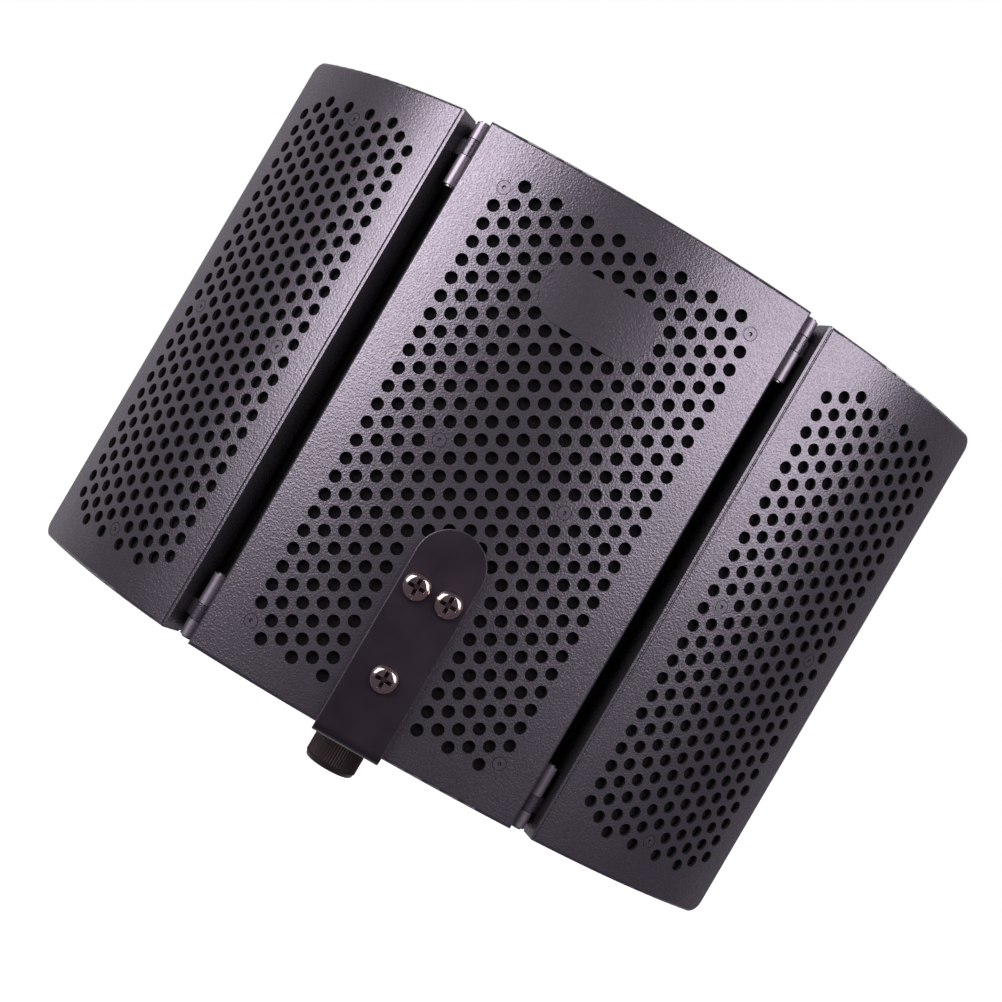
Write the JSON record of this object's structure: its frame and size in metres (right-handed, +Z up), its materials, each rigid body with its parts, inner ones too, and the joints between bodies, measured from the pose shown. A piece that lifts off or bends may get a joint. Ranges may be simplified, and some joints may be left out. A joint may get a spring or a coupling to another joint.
{
  "type": "microphone isolation shield",
  "caption": "Folding microphone isolation shield: curved perforated steel panels lined with foam, hinged side wings, and an L-bracket with a stand socket.",
  "frame": {"origin": "centre of the stand socket's mouth, on the axis of its thread", "axes": "+Z up along the stand socket's axis, +Y towards the foam and the microphone, +X to the right of someone who looks at the perforated back"},
  "size_m": [0.3203, 0.1049, 0.2596],
  "materials": {
    "powder_coat": "satin",
    "foam": "matte",
    "foam_clip": "satin",
    "badge": "satin",
    "hinge_steel": "satin",
    "hinge_pin": "satin",
    "bracket_paint": "satin",
    "bright_zinc": "polished",
    "zinc": "satin",
    "black_zinc": "satin",
    "socket_black": "satin"
  },
  "bodies": {
    "centre": {"centre_cover": "powder_coat", "centre_foam": "foam", "centre_foam_clips": "foam_clip", "blank_badge": "badge", "left_upper_hinge_leaf": "hinge_steel", "left_lower_hinge_leaf": "hinge_steel", "left_upper_hinge_pin": "hinge_pin", "left_lower_hinge_pin": "hinge_pin", "right_upper_hinge_leaf": "hinge_steel", "right_lower_hinge_leaf": "hinge_steel", "right_upper_hinge_pin": "hinge_pin", "right_lower_hinge_pin": "hinge_pin", "stand_bracket": "bracket_paint", "bracket_screws": "bright_zinc", "bracket_washers": "zinc", "bracket_nuts": "zinc", "stand_socket": "socket_black", "socket_washer": "black_zinc", "socket_lock_nut": "black_zinc"},
    "left_wing": {"left_wing_cover": "powder_coat", "left_wing_foam": "foam", "left_wing_foam_clips": "foam_clip", "left_wing_hinge_rail": "hinge_steel"},
    "right_wing": {"right_wing_cover": "powder_coat", "right_wing_foam": "foam", "right_wing_foam_clips": "foam_clip", "right_wing_hinge_rail": "hinge_steel"}
  },
  "joints": [
    {"name": "left_wing_hinge", "type": "hinge", "parent": "centre", "child": "left_wing", "pos_m": [-0.07414, -0.06452, 0.1431], "axis": [0, 0, -1], "range_deg": [-89.6, 10.4]},
    {"name": "right_wing_hinge", "type": "hinge", "parent": "centre", "child": "right_wing", "pos_m": [0.07414, -0.06452, 0.1431], "axis": [0, 0, 1], "range_deg": [-76.9, 23.1]}
  ]
}
